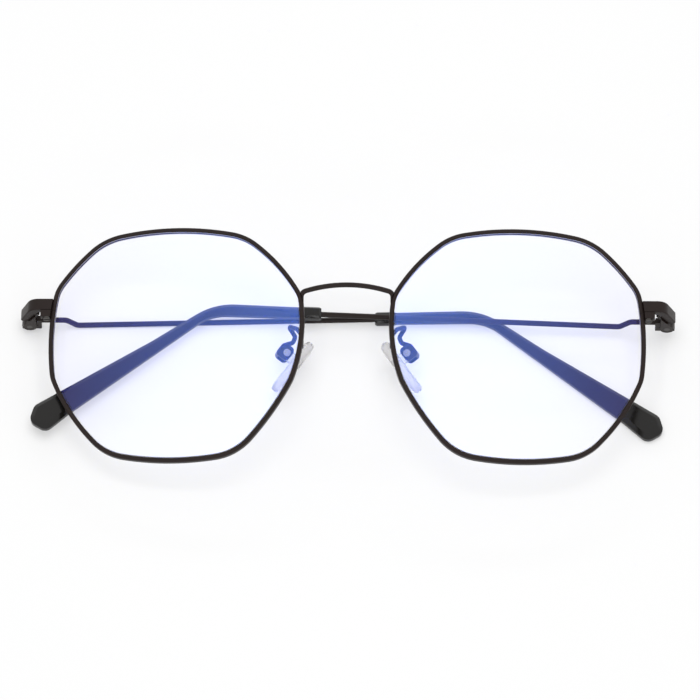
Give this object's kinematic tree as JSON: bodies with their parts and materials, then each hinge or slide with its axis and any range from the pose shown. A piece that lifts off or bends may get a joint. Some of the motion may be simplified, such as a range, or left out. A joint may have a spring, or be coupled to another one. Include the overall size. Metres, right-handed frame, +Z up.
{
  "type": "eyeglasses",
  "caption": "Octagonal wire-rimmed eyeglasses lying folded, with an arched wire bridge, rocking nose pads and hinged wire temples that end in faceted tips.",
  "frame": {"origin": "on the table under the middle of the folded eyeglasses", "axes": "+X along the front toward the side named right, +Y toward the brow, +Z up from the table, out through the fronts of the lenses"},
  "size_m": [0.1424, 0.0532, 0.0184],
  "materials": {
    "black_enamel": "satin",
    "screw_steel": "satin",
    "coated_lens": "gloss",
    "pad_plastic": "gloss",
    "pad_silicone": "satin",
    "tip_acetate": "gloss"
  },
  "bodies": {
    "front": {"bridge": "black_enamel", "rim_left": "black_enamel", "lens_left": "coated_lens", "endpiece_left": "black_enamel", "closing_block_left": "black_enamel", "closing_screw_left": "screw_steel", "front_hinge_left": "black_enamel", "hinge_screw_left": "screw_steel", "pad_arm_left": "black_enamel", "pad_box_left": "black_enamel", "pad_screw_left": "screw_steel", "rim_right": "black_enamel", "lens_right": "coated_lens", "endpiece_right": "black_enamel", "closing_block_right": "black_enamel", "closing_screw_right": "screw_steel", "front_hinge_right": "black_enamel", "hinge_screw_right": "screw_steel", "pad_arm_right": "black_enamel", "pad_box_right": "black_enamel", "pad_screw_right": "screw_steel"},
    "temple_left": {"temple_hinge_left": "black_enamel", "temple_wire_left": "black_enamel", "temple_tip_left": "tip_acetate"},
    "pad_left": {"nose_pad_left": "pad_silicone", "pad_core_left": "pad_plastic"},
    "temple_right": {"temple_hinge_right": "black_enamel", "temple_wire_right": "black_enamel", "temple_tip_right": "tip_acetate"},
    "pad_right": {"nose_pad_right": "pad_silicone", "pad_core_right": "pad_plastic"}
  },
  "joints": [
    {"name": "temple_left_fold", "type": "hinge", "parent": "front", "child": "temple_left", "pos_m": [-0.06929, 0.01007, 0.00305], "axis": [0, 1, 0], "range_deg": [0, 90.85]},
    {"name": "temple_right_fold", "type": "hinge", "parent": "front", "child": "temple_right", "pos_m": [0.06938, 0.01007, 0.00583], "axis": [0, -1, 0], "range_deg": [0, 93.15]},
    {"name": "pad_left_rock", "type": "hinge", "parent": "front", "child": "pad_left", "pos_m": [-0.01325, 0.00004, 0.00786], "axis": [-0.1421, 0.2524, -0.9571], "range_deg": [-8, 8]},
    {"name": "pad_right_rock", "type": "hinge", "parent": "front", "child": "pad_right", "pos_m": [0.0132, 0.00004, 0.00839], "axis": [0.1804, 0.2524, -0.9506], "range_deg": [-8, 8]}
  ]
}
